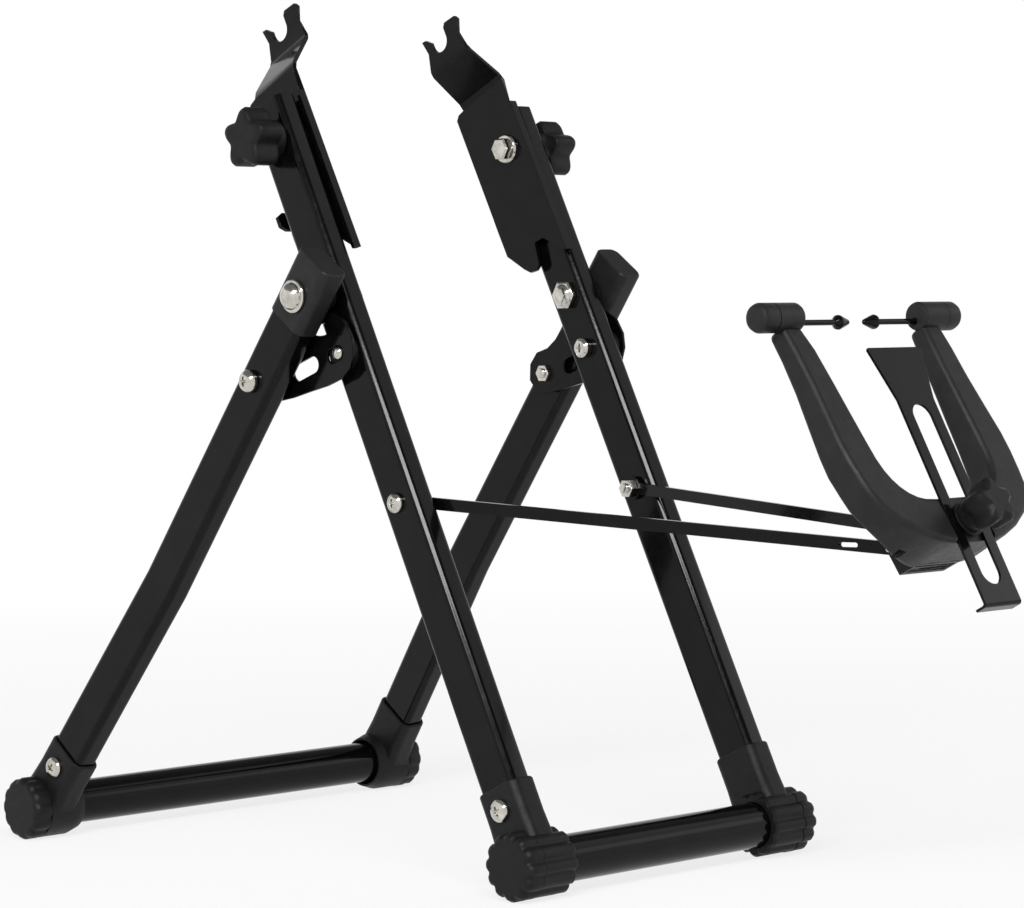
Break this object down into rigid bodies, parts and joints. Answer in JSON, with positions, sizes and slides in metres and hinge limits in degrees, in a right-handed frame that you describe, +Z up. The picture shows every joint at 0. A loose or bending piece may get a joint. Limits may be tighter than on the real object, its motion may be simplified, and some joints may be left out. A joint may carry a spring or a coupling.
{
  "type": "wheel truing stand",
  "caption": "Folding steel A-frame wheel truing stand with reversible hub dropouts, a caliper with sliding rim pointers on swinging arms and a slotted rim gauge.",
  "frame": {"origin": "on the floor, in the middle of the bounding box at rest", "axes": "+X to the stand's right side, +Y from the caliper in front to the rear cross tube, +Z up"},
  "size_m": [0.2556, 0.517, 0.4014],
  "materials": {
    "powder_coat": "satin black powder coat",
    "black_plastic": "fine-grained black moulding",
    "grey_moulding": "fine-grained dark grey moulding",
    "bright_plating": "bright zinc plating"
  },
  "bodies": {
    "front_frame": {"left_upright": "powder_coat", "right_upright": "powder_coat", "front_cross_tube": "powder_coat", "left_front_foot": "black_plastic", "right_front_foot": "black_plastic", "left_front_end_cap": "black_plastic", "right_front_end_cap": "black_plastic", "left_front_socket_screw": "bright_plating", "right_front_socket_screw": "bright_plating", "left_hinge_bolt": "bright_plating", "right_hinge_bolt": "bright_plating", "left_hinge_spacer": "black_plastic", "right_hinge_spacer": "black_plastic", "left_lock_spacer": "black_plastic", "right_lock_spacer": "black_plastic", "left_arm_bolt": "bright_plating", "right_arm_bolt": "bright_plating", "left_dropout_bolt": "bright_plating", "right_dropout_bolt": "bright_plating", "left_dropout_spacer": "black_plastic", "right_dropout_spacer": "black_plastic"},
    "rear_frame": {"rear_cross_tube": "powder_coat", "left_rear_leg": "powder_coat", "right_rear_leg": "powder_coat", "left_rear_foot": "black_plastic", "right_rear_foot": "black_plastic", "left_rear_end_cap": "black_plastic", "right_rear_end_cap": "black_plastic", "left_rear_socket_screw": "bright_plating", "right_rear_socket_screw": "bright_plating", "left_leg_cap": "grey_moulding", "right_leg_cap": "grey_moulding", "left_lock_bracket": "powder_coat", "right_lock_bracket": "powder_coat", "left_leg_bolt": "bright_plating", "right_leg_bolt": "bright_plating"},
    "left_lock": {"left_lock_screw": "bright_plating"},
    "right_lock": {"right_lock_screw": "bright_plating"},
    "caliper_arms": {"left_arm": "powder_coat", "right_arm": "powder_coat"},
    "caliper": {"caliper_body": "grey_moulding", "left_caliper_pin": "bright_plating", "right_caliper_pin": "bright_plating", "gauge_bolt": "bright_plating"},
    "left_feeler": {"left_pointer": "powder_coat", "left_pointer_knob": "grey_moulding"},
    "right_feeler": {"right_pointer": "powder_coat", "right_pointer_knob": "grey_moulding"},
    "rim_gauge": {"gauge_plate": "powder_coat"},
    "gauge_clamp": {"gauge_knob": "black_plastic", "gauge_washer": "black_plastic"},
    "left_dropout": {"left_dropout_plate": "powder_coat"},
    "right_dropout": {"right_dropout_plate": "powder_coat"},
    "left_dropout_clamp": {"left_dropout_knob": "black_plastic"},
    "right_dropout_clamp": {"right_dropout_knob": "black_plastic"}
  },
  "joints": [
    {"name": "rear_frame_fold", "type": "hinge", "parent": "front_frame", "child": "rear_frame", "pos_m": [0, 0.05968, 0.2623], "axis": [-1, 0, 0], "range_deg": [0, 62.6]},
    {"name": "left_lock_pull", "type": "slide", "parent": "front_frame", "child": "left_lock", "axis": [1, 0, 0], "range_m": [0, 0.018]},
    {"name": "right_lock_pull", "type": "slide", "parent": "front_frame", "child": "right_lock", "axis": [-1, 0, 0], "range_m": [0, 0.018]},
    {"name": "arms_swing", "type": "hinge", "parent": "front_frame", "child": "caliper_arms", "pos_m": [0, 0.01548, 0.1693], "axis": [-1, 0, 0], "range_deg": [-20, 55]},
    {"name": "caliper_tilt", "type": "hinge", "parent": "caliper_arms", "child": "caliper", "pos_m": [0, -0.22332, 0.1552], "axis": [-1, 0, 0], "range_deg": [-50, 25]},
    {"name": "left_pointer_slide", "type": "slide", "parent": "caliper", "child": "left_feeler", "axis": [1, 0, 0], "range_m": [-0.0245, 0]},
    {"name": "right_pointer_slide", "type": "slide", "parent": "caliper", "child": "right_feeler", "axis": [-1, 0, 0], "range_m": [-0.0245, 0]},
    {"name": "gauge_slide", "type": "slide", "parent": "caliper", "child": "rim_gauge", "axis": [0, 0.4741, 0.8805], "range_m": [-0.045, 0.02]},
    {"name": "gauge_knob_turn", "type": "hinge", "parent": "caliper", "child": "gauge_clamp", "pos_m": [0, -0.23922, 0.16633], "axis": [0, -0.8805, 0.4741], "continuous": true},
    {"name": "left_dropout_flip", "type": "hinge", "parent": "front_frame", "child": "left_dropout", "pos_m": [0, 0.09542, 0.33511], "axis": [1, 0, 0], "range_deg": [0, 180]},
    {"name": "right_dropout_flip", "type": "hinge", "parent": "front_frame", "child": "right_dropout", "pos_m": [0, 0.09542, 0.33511], "axis": [1, 0, 0], "range_deg": [0, 180]},
    {"name": "left_dropout_knob_turn", "type": "hinge", "parent": "front_frame", "child": "left_dropout_clamp", "pos_m": [0, 0.09542, 0.33511], "axis": [-1, 0, 0], "continuous": true},
    {"name": "right_dropout_knob_turn", "type": "hinge", "parent": "front_frame", "child": "right_dropout_clamp", "pos_m": [0, 0.09542, 0.33511], "axis": [1, 0, 0], "continuous": true}
  ],
  "couplings": [
    {"joint": "left_lock_pull", "follows": "rear_frame_fold", "m_per_rad": 0.01645},
    {"joint": "right_lock_pull", "follows": "rear_frame_fold", "m_per_rad": 0.01645}
  ]
}
